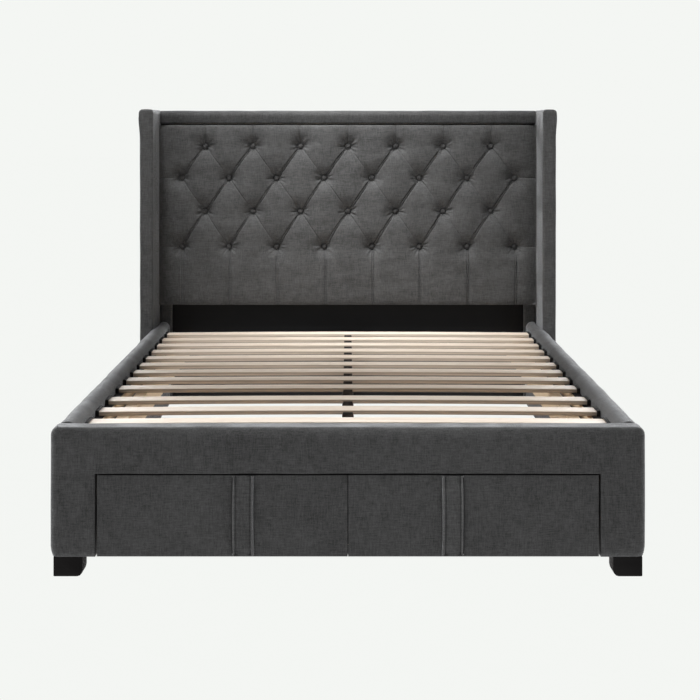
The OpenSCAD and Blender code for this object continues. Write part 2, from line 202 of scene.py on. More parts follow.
def bar(name, axis, low, high, radii, ends, end_radius, step, material, cross_step, shape=None):
    """A padded bar along an axis. low, high and radii give its outline across that axis."""
    sizes = [high[0] - low[0], high[1] - low[1]] * 2
    counts = [max(1, int(size / cross_step)) for size in sizes]
    rings = []
    for along, inset in zip(*eased_ends(ends[0], ends[1], end_radius, step)):
        ring = rounded(low, high, radii, counts, inset)
        ring = ring if shape is None else shape(ring, along)
        rings.append(place_ring(ring, along, axis))
    return loft(name, rings, material)


def sheet_grid(rows, columns, start=0):
    """Quads over a grid of points numbered row by row."""
    return [
        (start + i * columns + j, start + i * columns + j + 1,
         start + (i + 1) * columns + j + 1, start + (i + 1) * columns + j)
        for i in range(rows - 1) for j in range(columns - 1)
    ]


def grid_rim(rows, columns):
    """The points round the edge of such a grid, in order."""
    return ([j for j in range(columns)]
            + [i * columns + columns - 1 for i in range(1, rows)]
            + [(rows - 1) * columns + j for j in range(columns - 2, -1, -1)]
            + [i * columns for i in range(rows - 2, 0, -1)])


def edge_places(low, high, radius, step, turns=6):
    """Grid lines from low to high that crowd together where the edges round over."""
    angles = np.linspace(0, math.pi / 2, turns)
    near = radius * (1 - np.cos(angles))
    return np.concatenate([low + near, spread(low + radius, high - radius, step)[1:-1],
                           (high - near)[::-1]])


def edge_fall(x, z, low, high, radius):
    """How far a panel's face drops towards its edges, as a quarter round."""
    dx = np.clip(radius - np.minimum(x - low[0], high[0] - x), 0, radius)
    dz = np.clip(radius - np.minimum(z - low[1], high[1] - z), 0, radius)
    return radius - np.sqrt(np.clip(radius ** 2 - dx ** 2 - dz ** 2, 0, None))


def panel(name, box, back_y, radius, step, material, relief):
    """A padded panel facing -Y. relief(x, z) is how far its face lies behind its box's front."""
    low, high, front_y = (box[0].x, box[0].z), (box[1].x, box[1].z), box[0].y
    xs = edge_places(low[0], high[0], radius, step)
    zs = edge_places(low[1], high[1], radius, step)
    x, z = (a.ravel() for a in np.meshgrid(xs, zs))
    sink = edge_fall(x, z, low, high, radius)
    sink = sink + relief(x, z) * np.clip(1 - sink / radius, 0, 1)
    face = np.column_stack([x, front_y + sink, z])
    columns, rows = len(xs), len(zs)
    faces = sheet_grid(rows, columns)
    rim = grid_rim(rows, columns)
    points = [face]
    previous, total = rim, len(face)
    for share in (0.34, 0.67, 1.0):
        ring = face[rim].copy()
        ring[:, 1] += (back_y - ring[:, 1]) * share
        current = list(range(total, total + len(rim)))
        total += len(rim)
        points.append(ring)
        faces += zip(previous, previous[1:] + previous[:1], current[1:] + current[:1], current)
        previous = current
    faces.append(tuple(previous))
    return make_object(name, np.concatenate(points), faces, material)


def paint_faces(obj, material, is_marked):
    """Gives the faces whose centres pass a test another material."""
    obj.data.materials.append(material)
    for polygon in obj.data.polygons:
        if is_marked(polygon.center):
            polygon.material_index = len(obj.data.materials) - 1


def paint_lining_as_shade(obj, is_shaded):
    """Gives the faces whose centres pass a test the black lining material: painted shade in gaps,
    recesses and beside the strap pulls.
    """
    paint_faces(obj, lining, is_shaded)


def eased_copy(node, material, width):
    """A CAD node's shape with its hard edges eased, as a piece that stands for it."""
    mesh = bpy.data.objects[node].data.copy()
    work = bmesh.new()
    work.from_mesh(mesh)
    bmesh.ops.remove_doubles(work, verts=work.verts, dist=1e-5)
    bmesh.ops.dissolve_limit(work, angle_limit=math.radians(1), verts=work.verts, edges=work.edges)
    work.to_mesh(mesh)
    work.free()
    mesh.materials.clear()
    mesh.materials.append(material)
    for polygon in mesh.polygons:
        polygon.material_index = 0
        polygon.use_smooth = True
    obj = bpy.data.objects.new(node + "_finished", mesh)
    bpy.context.scene.collection.objects.link(obj)
    bevel = obj.modifiers.new("ease", "BEVEL")
    bevel.width = width
    bevel.segments = 2
    bevel.limit_method = "ANGLE"
    bevel.angle_limit = math.radians(35)
    bevel.harden_normals = True
    bevel.use_clamp_overlap = True
    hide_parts(node)
    return obj


def finish_piece(obj, body, slot, *nodes):
    """Puts a piece on its body and hides the CAD nodes it stands for; its slot is not used."""
    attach(obj, body)
    if nodes:
        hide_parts(*nodes)


def finish_cloth(obj, fill, *nodes, body="bed_frame"):
    """Finishes an upholstered piece as finish_piece does; its fill, the share of padding under the
    cloth, is not used.
    """
    finish_piece(obj, body, "charcoal_upholstery", *nodes)


# ---------------- materials

class Nodes:
    """A short way to build a node tree."""

    def __init__(self, tree):
        self.nodes, self.links = tree.nodes, tree.links

    def link(self, source, target):
        self.links.new(source, target)

    def feed(self, socket, value):
        """Links a socket to another socket, or sets its number or colour."""
        if isinstance(value, bpy.types.NodeSocket):
            self.link(value, socket)
        elif isinstance(value, tuple) and socket.type == "RGBA":
            socket.default_value = (*value, 1)
        else:
            socket.default_value = value

    def node(self, kind, **values):
        """A new node with some of its sockets linked or set."""
        node = self.nodes.new("ShaderNode" + kind)
        for name, value in values.items():
            self.feed(node.inputs[name.replace("_", " ")], value)
        return node

    def math(self, operation, *values):
        node = self.node("Math")
        node.operation = operation
        for socket, value in zip(node.inputs, values):
            self.feed(socket, value)
        return node.outputs[0]

    def total(self, first, *others):
        for value in others:
            first = self.math("ADD", first, value)
        return first

    def blend(self, *parts):
        """The sum of some values, each times its share."""
        return self.total(*[self.math("MULTIPLY", value, share) for value, share in parts])

    def range(self, value, low, high, new_low, new_high, interpolation="LINEAR"):
        node = self.node("MapRange", From_Min=low, From_Max=high, To_Min=new_low, To_Max=new_high,
                         Value=value)
        node.interpolation_type = interpolation
        return node.outputs["Result"]


class Tree(Nodes):
    """The nodes of one material."""

    def __init__(self, name):
        self.material = bpy.data.materials.new(name)
        self.material.use_nodes = True
        super().__init__(self.material.node_tree)
        self.shader = self.nodes["Principled BSDF"]
        self.position = self.node("TexCoord").outputs["Object"]

    def scaled(self, scale):
        return self.node("Mapping", Scale=scale, Vector=self.position).outputs["Vector"]

    def noise(self, vector, scale, detail=3.0, roughness=0.55, distortion=0.0):
        return self.node("TexNoise", Scale=scale, Detail=detail, Roughness=roughness,
                         Distortion=distortion, Vector=vector).outputs["Fac"]

    def wave(self, vector, scale, direction, distortion, detail_scale=1.0):
        node = self.node("TexWave", Scale=scale, Distortion=distortion,
                         Detail_Scale=detail_scale, Vector=vector)
        node.bands_direction = direction
        return node.outputs["Fac"]

    def ramp(self, value, stops):
        node = self.node("ValToRGB", Fac=value)
        band = node.color_ramp
        while len(band.elements) < len(stops):
            band.elements.new(0.5)
        for element, (place, colour) in zip(band.elements, stops):
            element.position = place
            element.color = (*colour, 1)
        return node.outputs["Color"]

    def mix(self, factor, first, second):
        """A mix of two colours, each a socket or three numbers."""
        node = self.node("Mix")
        node.data_type = "RGBA"
        for index, value in ((0, factor), (6, first), (7, second)):
            self.feed(node.inputs[index], value)
        return node.outputs[2]

    def bump(self, height, distance, strength, **onto):
        return self.node("Bump", Distance=distance, Strength=strength, Height=height,
                         **onto).outputs["Normal"]

    def attribute(self, name):
        node = self.node("Attribute")
        node.attribute_name = name
        return node.outputs["Fac"]

    def glow(self, colour):
        """Gives the material a light of its own in place of a lit surface."""
        glow = self.node("Emission", Color=colour)
        self.link(glow.outputs[0], self.nodes["Material Output"].inputs["Surface"])

    def finish(self, **values):
        """Links or sets the shader's own sockets and hands over the material."""
        for name, value in values.items():
            self.feed(self.shader.inputs[name.replace("_", " ")], value)
        return self.material


def grey(value):
    return (value, value, value)


def shaded(colour, share):
    """A colour times a share."""
    return tuple(share * value for value in colour)


def cloth_material(name, dark, light):
    """Charcoal marl: flecked yarns that run both ways, a soft nap and a fine weave."""
    tree = Tree(name)
    upright = tree.noise(tree.scaled((1, 1, 0.13)), 320, detail=3, roughness=0.6)
    across = tree.noise(tree.scaled((0.12, 0.12, 1)), 320, detail=3, roughness=0.6)
    fleck = tree.noise(tree.position, 420, detail=3, roughness=0.6)
    brushed = tree.noise(tree.scaled((1, 1, 0.7)), 24, detail=5, roughness=0.66, distortion=0.5)
    clouds = tree.noise(tree.position, 5.5, detail=3, roughness=0.5)
    yarn = tree.blend((upright, 0.36), (across, 0.36), (fleck, 0.30))
    tone = tree.blend((yarn, 0.74), (brushed, 0.16), (clouds, 0.10))
    warp = tree.wave(tree.position, 300, "X", 1.2, 2.0)
    weft = tree.wave(tree.position, 300, "Z", 1.2, 2.0)
    weave = tree.math("ADD", tree.math("MULTIPLY", warp, weft), tree.math("MULTIPLY", yarn, 1.4))
    nap = tree.bump(brushed, 3.0 * MM, 0.3)
    return tree.finish(
        Base_Color=tree.ramp(tone, [(0.41, grey(dark)), (0.5, grey((dark + light) / 2)),
                                    (0.59, grey(light))]),
        Roughness=tree.range(yarn, 0.3, 0.7, 0.98, 0.84),
        Normal=tree.bump(weave, 0.4 * MM, 0.7, Normal=nap),
        Sheen_Weight=0.4, Sheen_Roughness=0.3, Sheen_Tint=(0.93, 0.96, 1.0),
        Specular_IOR_Level=0.15)


def lining_material(name):
    """Thin black lining cloth."""
    tree = Tree(name)
    weave = tree.math("MULTIPLY", tree.wave(tree.position, 420, "X", 0.6),
                      tree.wave(tree.position, 420, "Z", 0.6))
    clouds = tree.noise(tree.position, 6, detail=4)
    tone = tree.blend((weave, 0.25), (clouds, 0.75))
    return tree.finish(
        Base_Color=tree.ramp(tone, [(0.25, grey(0.006)), (0.75, (0.014, 0.014, 0.015))]),
        Roughness=tree.range(clouds, 0.3, 0.7, 0.8, 0.95),
        Normal=tree.bump(weave, 0.3 * MM, 0.5), Sheen_Weight=0.06, Specular_IOR_Level=0.2)


def wood_material(name, grain_axis, pale, mid, deep, gloss, figure=1.0, layered=False, shine=0.4):
    """Planed wood whose grain runs along one axis, with pores, figure and handling marks."""
    tree = Tree(name)
    along = {"x": (0.05, 1, 1), "y": (1, 0.05, 1)}[grain_axis]
    stretched = tree.scaled(along)
    figure_noise = tree.noise(stretched, 26, detail=5, roughness=0.6, distortion=0.9)
    fine = tree.noise(stretched, 420, detail=3, roughness=0.6)
    board = tree.noise(tree.position, 2.4, detail=2)
    pores = tree.noise(tree.scaled(tuple(0.35 * v if v < 1 else v for v in along)), 900, detail=1)
    tone = tree.blend((figure_noise, 0.55 * figure), (fine, 0.25), (board, 0.2))
    colour = tree.ramp(tone, [(0.3, deep), (0.47, mid), (0.66, pale)])
    colour = tree.mix(tree.range(pores, 0.62, 0.72, 0.0, 0.35), colour, shaded(deep, 0.55))
    if layered:
        plies = tree.math("PINGPONG", tree.math("MULTIPLY", tree.attribute("depth_in_slat"), 3.5),
                          1.0)
        dark_ply = tree.range(plies, 0.35, 0.65, 0.0, 0.85)
        edge_colour = tree.mix(dark_ply, mid, shaded(deep, 0.8))
        colour = tree.mix(tree.attribute("edge_of_slat"), colour, edge_colour)
    return tree.finish(
        Base_Color=colour, Roughness=tree.range(fine, 0.3, 0.7, gloss, gloss + 0.16),
        Normal=tree.bump(fine, 0.25 * MM, 0.35), Specular_IOR_Level=shine)


def plastic_material(name, colour, roughness):
    """Moulded plastic with a fine spark texture and rubbed spots."""
    tree = Tree(name)
    spark = tree.noise(tree.position, 1500, detail=2)
    rubbed = tree.noise(tree.position, 60, detail=4)
    worn = tuple(min(1.0, 1.9 * v + 0.01) for v in colour)
    return tree.finish(
        Base_Color=tree.ramp(rubbed, [(0.42, colour), (0.75, worn)]),
        Roughness=tree.range(rubbed, 0.3, 0.7, roughness, roughness + 0.15),
        Normal=tree.bump(spark, 0.12 * MM, 0.4), Specular_IOR_Level=0.2)


def metal_material(name, colour, roughness, metallic):
    """Plated or coated steel, with drawing marks along Y, faint stains and scuffs."""
    tree = Tree(name)
    marks = tree.noise(tree.scaled((1, 0.03, 1)), 900, detail=2)
    stains = tree.noise(tree.position, 22, detail=4)
    return tree.finish(
        Base_Color=tree.ramp(stains, [(0.35, shaded(colour, 0.72)), (0.6, colour)]),
        Roughness=tree.range(stains, 0.3, 0.7, roughness - 0.06, roughness + 0.12),
        Normal=tree.bump(marks, 0.06 * MM, 0.4), Metallic=metallic)


def thread_material(name):
    """Twisted sewing thread, a shade darker than the cloth."""
    tree = Tree(name)
    twist = tree.noise(tree.scaled((1, 1, 0.3)), 1800, detail=1)
    return tree.finish(
        Base_Color=tree.ramp(twist, [(0.35, (0.010, 0.010, 0.011)), (0.7, (0.030, 0.030, 0.033))]),
        Normal=tree.bump(twist, 0.1 * MM, 0.5), Roughness=0.7, Sheen_Weight=0.2)


cloth = cloth_material("charcoal_cloth", 0.050, 0.112)
strap_cloth = cloth_material("strap_cloth", 0.056, 0.120)
# A lighter copy of the strap cloth for the corded hems: a painted highlight along each hem.
hem_painted_highlight = cloth_material("strap_hem_painted_highlight", 0.095, 0.180)
button_cloth = cloth_material("button_cloth", 0.046, 0.100)
lining = lining_material("black_lining")
PINE = ((0.80, 0.65, 0.46), (0.72, 0.55, 0.36), (0.55, 0.37, 0.20))
birch = wood_material("birch_slat", "x", (0.86, 0.77, 0.68), (0.78, 0.67, 0.56),
                      (0.60, 0.48, 0.37), 0.5, figure=0.9, layered=True)
pine_x = wood_material("pine_along_x", "x", *PINE, 0.5)
pine_y = wood_material("pine_along_y", "y", *PINE, 0.5)
plywood = wood_material("plywood", "y", (0.76, 0.62, 0.45), (0.68, 0.53, 0.36),
                        (0.54, 0.39, 0.24), 0.55)
black_wood = wood_material("black_stained_wood", "x", (0.015, 0.014, 0.014),
                           (0.011, 0.010, 0.010), (0.007, 0.006, 0.006), 0.65, shine=0.12)
black_plastic = plastic_material("black_plastic", (0.012, 0.011, 0.011), 0.7)
seat_plastic = plastic_material("grey_black_plastic", (0.050, 0.044, 0.040), 0.7)
black_steel = metal_material("black_coated_steel", (0.022, 0.022, 0.023), 0.4, 0.3)
zinc_steel = metal_material("zinc_plated_steel", (0.62, 0.63, 0.65), 0.32, 1.0)
thread = thread_material("dark_thread")


# ---------------- places, from the CAD

pad_low, pad_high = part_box("headboard_pad")
border_low, border_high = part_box("headboard_border_cover")
post_low, post_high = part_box("foot_post_cover_right")
front_y = post_low.y


# ---------------- the buttoned headboard

BUTTON_ROWS = (0.674, 0.813, 0.944, 1.068)
BUTTON_PITCH = 0.1868
BUTTON_RADIUS = 10 * MM


def button_row(index):
    """The x of each button in a row. Rows take turns at eight and seven buttons."""
    count = 8 if index % 2 == 0 else 7
    return [(i - (count - 1) / 2) * BUTTON_PITCH for i in range(count)]


def pleats():
    """Every pleat as (start, end, kind). Rising ones run down from right to left."""
    found = []
    for row in range(3):
        for x in button_row(row):
            for other in button_row(row + 1):
                if abs(abs(other - x) - BUTTON_PITCH / 2) < 1 * MM:
                    kind = "rising" if other > x else "falling"
                    found.append(((other, BUTTON_ROWS[row + 1]), (x, BUTTON_ROWS[row]), kind))
    for x in button_row(0):
        found.append(((x, BUTTON_ROWS[0]), (x + 1 * MM, pad_low.z), "lower"))
    for x in button_row(3):
        found.append(((x, BUTTON_ROWS[3]), (x, pad_high.z), "upper"))
    for row in (0, 2):
        for x in (button_row(row)[0], button_row(row)[-1]):
            edge = pad_low.x if x < 0 else pad_high.x
            found.append(((x, BUTTON_ROWS[row]), (edge, BUTTON_ROWS[row] - 2 * MM), "side"))
    return found


# kind: (sink at mid length, sink at a button, reach to each side, crease, fold beside it), in mm
PLEAT_SHAPES = {
    "rising": (7.0, 5.0, 28.0, 5.5, 1.8),
    "falling": (3.6, 4.0, 28.0, 3.6, 0.8),
    "lower": (4.0, 5.0, 26.0, 6.0, 2.0),
    "upper": (4.5, 5.0, 26.0, 5.5, 1.6),
    "side": (4.0, 5.0, 26.0, 3.6, 0.8),
}
PLEAT_INFLUENCE = 130 * MM
VALLEY_BLEND = 3.0
CREASE_WIDTH, SECOND_CREASE_WIDTH = 1.5 * MM, 1.6 * MM
FOLD_WIDTH, FOLD_REACH = 1.3 * MM, 8 * MM
CREASE_RUN_OUT, CREASE_START = 4 * MM, 18 * MM
DIMPLE_DEPTH, DIMPLE_REACH, DIMPLE_SHARPNESS = 31 * MM, 29 * MM, 1.45
POCKET_DEPTH, POCKET_RADIUS = 3 * MM, 13.5 * MM
WRINKLE_HEIGHT, WRINKLE_RADIUS, WRINKLE_SPREAD = 1.7 * MM, 24 * MM, 13 * MM
WRINKLES_ROUND_A_BUTTON = (5, 8, 13)
DEEPEST = 39 * MM


def crease_strength(kind, t, length):
    """How strong a pleat's creases are at a share t of its length: weakest at the buttons."""
    between_buttons = kind in ("rising", "falling")
    from_button = (np.minimum(t, 1 - t) if between_buttons else t) * length
    if kind == "rising":
        strength = 0.5 + 0.5 * np.sin(math.pi * t) ** 0.6
    elif kind == "falling":
        strength = np.clip(1.25 - 1.1 * t, 0.1, 1)
    else:
        strength = 1 - 0.35 * t
    return strength * np.clip(from_button / CREASE_START, 0, 1)


def creases(kind, t, side, crease, fold):
    """A pleat's sharp crease, the fold that lies over it and, on some kinds, a second crease."""
    sink = crease * np.exp(-(side / CREASE_WIDTH) ** 2)
    sink -= fold * np.tanh(side / FOLD_WIDTH) * np.exp(-np.abs(side) / FOLD_REACH)
    if kind in ("rising", "lower"):
        offset, share = (7.5 * MM, 0.85) if kind == "lower" else ((4.5 + 4.5 * t) * MM, 0.75)
        sink += share * crease * np.exp(-((side + offset) / SECOND_CREASE_WIDTH) ** 2)
        sink -= 0.5 * crease * np.exp(-((side + offset / 2) / SECOND_CREASE_WIDTH) ** 2)
    return sink


def tufting(x, z):
    """How far the buttoned pad's face lies behind its crest."""
    rng = np.random.default_rng(11)
    broad = np.zeros_like(x)
    fine = np.zeros_like(x)
    for (ax, az), (bx, bz), kind in pleats():
        middle, ending, width, crease, fold = mm(*PLEAT_SHAPES[kind])
        middle *= rng.uniform(0.85, 1.15)
        crease *= rng.uniform(0.75, 1.2)
        bow = rng.uniform(2.0, 5.0) * MM if kind == "rising" else rng.uniform(-1.5, 1.5) * MM
        length = math.hypot(bx - ax, bz - az)
        ux, uz = (bx - ax) / length, (bz - az) / length
        near = ((x > min(ax, bx) - PLEAT_INFLUENCE) & (x < max(ax, bx) + PLEAT_INFLUENCE)
                & (z > min(az, bz) - PLEAT_INFLUENCE) & (z < max(az, bz) + PLEAT_INFLUENCE))
        px, pz = x[near], z[near]
        raw = ((px - ax) * ux + (pz - az) * uz) / length
        t = np.clip(raw, 0, 1)
        side = (px - ax) * uz - (pz - az) * ux - bow * np.sin(math.pi * t)
        past = (raw - t) * length
        if kind in ("rising", "falling"):
            depth = middle + (ending - middle) * np.abs(2 * t - 1) ** 2.2
        else:
            depth = middle + (ending - middle) * np.clip(1 - t * 1.6, 0, 1) ** 1.6
        broad[near] += (depth * np.exp(-np.hypot(side, past) / width)) ** VALLEY_BLEND
        strength = crease_strength(kind, t, length) * np.exp(-np.abs(past) / CREASE_RUN_OUT)
        fine[near] += creases(kind, t, side, crease, fold) * strength
    sink = broad ** (1 / VALLEY_BLEND)
    for row, height in enumerate(BUTTON_ROWS):
        for bx in button_row(row):
            r = np.hypot(x - bx, z - height)
            near = r < 0.14
            reached = r[near]
            angle = np.arctan2(z[near] - height, x[near] - bx)
            dimple = DIMPLE_DEPTH * np.exp(-(reached / DIMPLE_REACH) ** DIMPLE_SHARPNESS)
            dimple += POCKET_DEPTH * np.exp(-(reached / POCKET_RADIUS) ** 6)
            wrinkles = sum(
                np.sin(angle * count + rng.uniform(0, 6.28)) * rng.uniform(0.3, 1.0)
                for count in WRINKLES_ROUND_A_BUTTON
            )
            share = np.exp(-((reached - WRINKLE_RADIUS) / WRINKLE_SPREAD) ** 2)
            sink[near] += dimple + WRINKLE_HEIGHT * wrinkles * share
    sink += fine + 1.1 * MM * face_ripple(x, z, 0.11, 5) + 0.5 * MM * face_ripple(x, z, 0.04, 6)
    from_side = np.minimum(x - pad_low.x, pad_high.x - x)
    from_top = np.clip(pad_high.z - z, 0, None)
    from_bottom = np.clip(z - pad_low.z, 0, None)
    sink += 15 * MM * np.exp(-from_side / (30 * MM)) + 7 * MM * np.exp(-from_top / (18 * MM))
    sink += 7 * MM * np.exp(-from_bottom / (30 * MM)) + 1 * MM
    eased = 0.75 * DEEPEST
    return np.where(sink < eased, sink, DEEPEST - (DEEPEST - eased) * np.exp(
        np.minimum(0, (eased - sink) / (DEEPEST - eased))))


def thin_out(obj, most):
    """Merges faces where the surface is even, down to a number of triangles."""
    triangles = sum(len(p.vertices) - 2 for p in obj.data.polygons)
    if triangles <= most:
        return
    thinning = obj.modifiers.new("thinning", "DECIMATE")
    thinning.ratio = most / triangles
    graph = bpy.context.evaluated_depsgraph_get()
    thinned = bpy.data.meshes.new_from_object(obj.evaluated_get(graph))
    obj.modifiers.clear()
    obj.data = thinned
    for polygon in thinned.polygons:
        polygon.use_smooth = True


def make_pad():
    step = 2.0 * MM
    pad = panel("headboard_tufted_pad", (pad_low, pad_high), pad_high.y, 13 * MM, step, cloth,
                tufting)
    thin_out(pad, 196000)
    finish_cloth(pad, 0.8, "headboard_pad")


def make_buttons():
    """Cloth-covered domes that sit in the pad's dimples, each a little different."""
    rng = np.random.default_rng(23)
    points, faces = [], []
    rings, around = 7, 20
    turn = np.linspace(0, 2 * math.pi, 12, endpoint=False)
    rim_x, rim_z = 1.5 * BUTTON_RADIUS * np.cos(turn), 1.5 * BUTTON_RADIUS * np.sin(turn)
    for row, height in enumerate(BUTTON_ROWS):
        for bx in button_row(row):
            seat = pad_low.y + float(tufting(bx + rim_x, height + rim_z).mean()) + 0.5 * MM
            tilt = rng.uniform(-0.08, 0.08, 2)
            start = len(points)
            phase = rng.uniform(0, 6.28)
            for i in range(rings + 1):
                swing = math.pi * (0.5 + 0.18) * i / rings
                radius = BUTTON_RADIUS * math.sin(swing)
                rise = 5.6 * MM * math.cos(swing)
                for j in range(around):
                    angle = 2 * math.pi * j / around
                    pucker = 1 + 0.012 * math.sin(9 * angle + phase) * (i / rings) ** 2
                    px = radius * pucker * math.cos(angle)
                    pz = radius * pucker * math.sin(angle)
                    points.append((bx + px, seat - rise + px * tilt[0] + pz * tilt[1], height + pz))
            faces += ring_faces(rings + 1, around, start)
            faces.append(tuple(start + rings * around + j for j in range(around)))
    buttons = make_object("headboard_covered_buttons", points, faces, button_cloth)
    finish_piece(buttons, "bed_frame", "button_fabric", "headboard_buttons")


def make_border():
    height = border_high.z - border_low.z

    def shape(ring, along):
        """Draws the cloth back towards the pad's top edge, where it is pulled tight."""
        ring = ring.copy()
        down = np.clip((border_high.z - ring[:, 1]) / height, 0, 1)
        groove = 13 * MM * np.clip((border_low.z + 8 * MM - ring[:, 1]) / (6 * MM), 0, 1)
        ring[:, 0] += (7 * MM * down ** 2 + groove) * (ring[:, 0] < border_low.y + 24 * MM)
        return ring

    border = bar("headboard_border", "x", (border_low.y, border_low.z),
                 (border_high.y, border_high.z), mm(2, 2, 6, 20), (border_low.x, border_high.x),
                 1.5 * MM, 20 * MM, cloth, 3 * MM, shape)
    # Painted shade: the border's lowest faces, in the groove above the pad, get the black lining.
    paint_lining_as_shade(border, lambda centre: centre.z < border_low.z + 4 * MM)
    wobble(border, 0.5 * MM, 0.16, 31)
    finish_cloth(border, 0.9, "headboard_border_cover", "headboard_top_rail")


def make_stile(side, name):
    low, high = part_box(f"headboard_stile_cover_{name}")
    stile = bar(f"headboard_stile_padding_{name}", "z", (low.x, low.y), (high.x, high.y),
                mm(5, 5, 2, 2), (low.z, high.z), 2 * MM, 16 * MM, cloth, 7 * MM)
    wobble(stile, 0.4 * MM, 0.14, 40 + side)
    finish_cloth(stile, 0.9, f"headboard_stile_cover_{name}", f"headboard_stile_{name}")


def make_wing(side, name):
    """A wing: a flat padded board with a seam set in from each of its front edges."""
    low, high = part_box(f"wing_cover_{name}")
    seam_set_in = 6.5 * MM

    def shape(ring, height):
        on_front = ring[:, 1] < low.y + 3 * MM
        edge = np.minimum(ring[:, 0] - low.x, high.x - ring[:, 0])
        groove = 1.3 * MM * np.exp(-((edge - seam_set_in) / (1.1 * MM)) ** 2)
        ring = ring.copy()
        ring[:, 1] += np.where(on_front, groove, 0)
        return ring

    wing = bar(f"wing_{name}", "z", (low.x, low.y), (high.x, high.y), mm(9, 9, 9, 9),
               (low.z, high.z - 1.5 * MM), 11 * MM, 12 * MM, cloth, 1.9 * MM, shape)
    points = get_points(wing)
    centre, half = (low.x + high.x) / 2, (high.x - low.x) / 2
    dome = 1.8 * MM * (1 - ((points[:, 0] - centre) / half) ** 2)
    flare = 5 * MM * np.exp(-((points[:, 2] - high.z + 36 * MM) / (44 * MM)) ** 2)
    outer_half = np.clip((points[:, 0] - centre) * side / half, 0, 1)
    points[:, 0] += side * flare * outer_half
    points[:, 2] += dome * np.clip((points[:, 2] - high.z + 30 * MM) / (20 * MM), 0, 1)
    set_points(wing, points)
    wobble(wing, 0.7 * MM, 0.19, 50 + side)
    finish_cloth(wing, 0.85, f"wing_cover_{name}", f"wing_board_{name}")


def make_lower_panel():
    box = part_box("headboard_lower_panel")

    def relief(x, z):
        return 0.8 * MM + 0.6 * MM * face_ripple(x, z, 0.3, 61)

    board = panel("headboard_black_panel", box, box[1].y, 1.5 * MM, 25 * MM, lining, relief)
    finish_piece(board, "bed_frame", "black_lining", "headboard_lower_panel")


def make_back_lining():
    """Lining drawn tight over the back and stapled along a folded hem."""
    low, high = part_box("headboard_back_cover")
    hem = 14 * MM
    xs = edge_places(low.x, high.x, 4 * MM, 14 * MM)
    zs = edge_places(low.z, high.z, 4 * MM, 14 * MM)
    x, z = (a.ravel() for a in np.meshgrid(xs, zs))
    from_edge = np.minimum(np.minimum(x - low.x, high.x - x), np.minimum(z - low.z, high.z - z))
    slack = np.clip((from_edge - hem) / 0.1, 0, 1)
    y = high.y - 1.2 * MM + 0.9 * MM * face_ripple(x, z, 0.35, 71) * slack
    y += 0.8 * MM * np.clip((hem - from_edge) / (3 * MM), 0, 1)
    front = np.column_stack([x, y - 0.7 * MM, z])
    back = np.column_stack([x, y, z])
    columns, rows = len(xs), len(zs)
    count = len(x)
    faces = sheet_grid(rows, columns) + sheet_grid(rows, columns, count)
    rim = grid_rim(rows, columns)
    faces += [(a, b, b + count, a + count) for a, b in zip(rim, rim[1:] + rim[:1])]
    cover = make_object("headboard_back_lining", np.concatenate([front, back]), faces, lining)
    finish_piece(cover, "bed_frame", "black_lining", "headboard_back_cover")


# ---------------- rails and foot end

def make_side_rail(side, name):
    low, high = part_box(f"side_rail_cover_{name}")
    inside_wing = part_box(f"wing_cover_{name}")[0].y
    wing_face = pad_high.x
    x_low, x_high = min(abs(low.x), abs(high.x)), max(abs(low.x), abs(high.x))
    stations = np.concatenate([
        spread(low.y, inside_wing - 1.5 * MM, 16 * MM),
        spread(inside_wing + 0.5 * MM, high.y, 16 * MM),
    ])
    counts = [5, 38, 3, 38]
    rings = []
    for y in stations:
        outer, round_outer = (x_high, 26) if y < inside_wing else (wing_face, 12)
        ring = rounded((x_low, low.z), (outer, high.z), mm(5, 5, round_outer, 27), counts, turns=9)
        ring[:, 0] *= side
        rings.append(place_ring(ring, y, "y"))
    rail = loft(f"side_rail_{name}", rings, cloth)
    wobble(rail, 0.9 * MM, 0.17, 80 + side)
    wobble(rail, 0.2 * MM, 0.045, 84 + side)
    finish_cloth(rail, 0.85, f"side_rail_cover_{name}", f"side_rail_board_{name}")


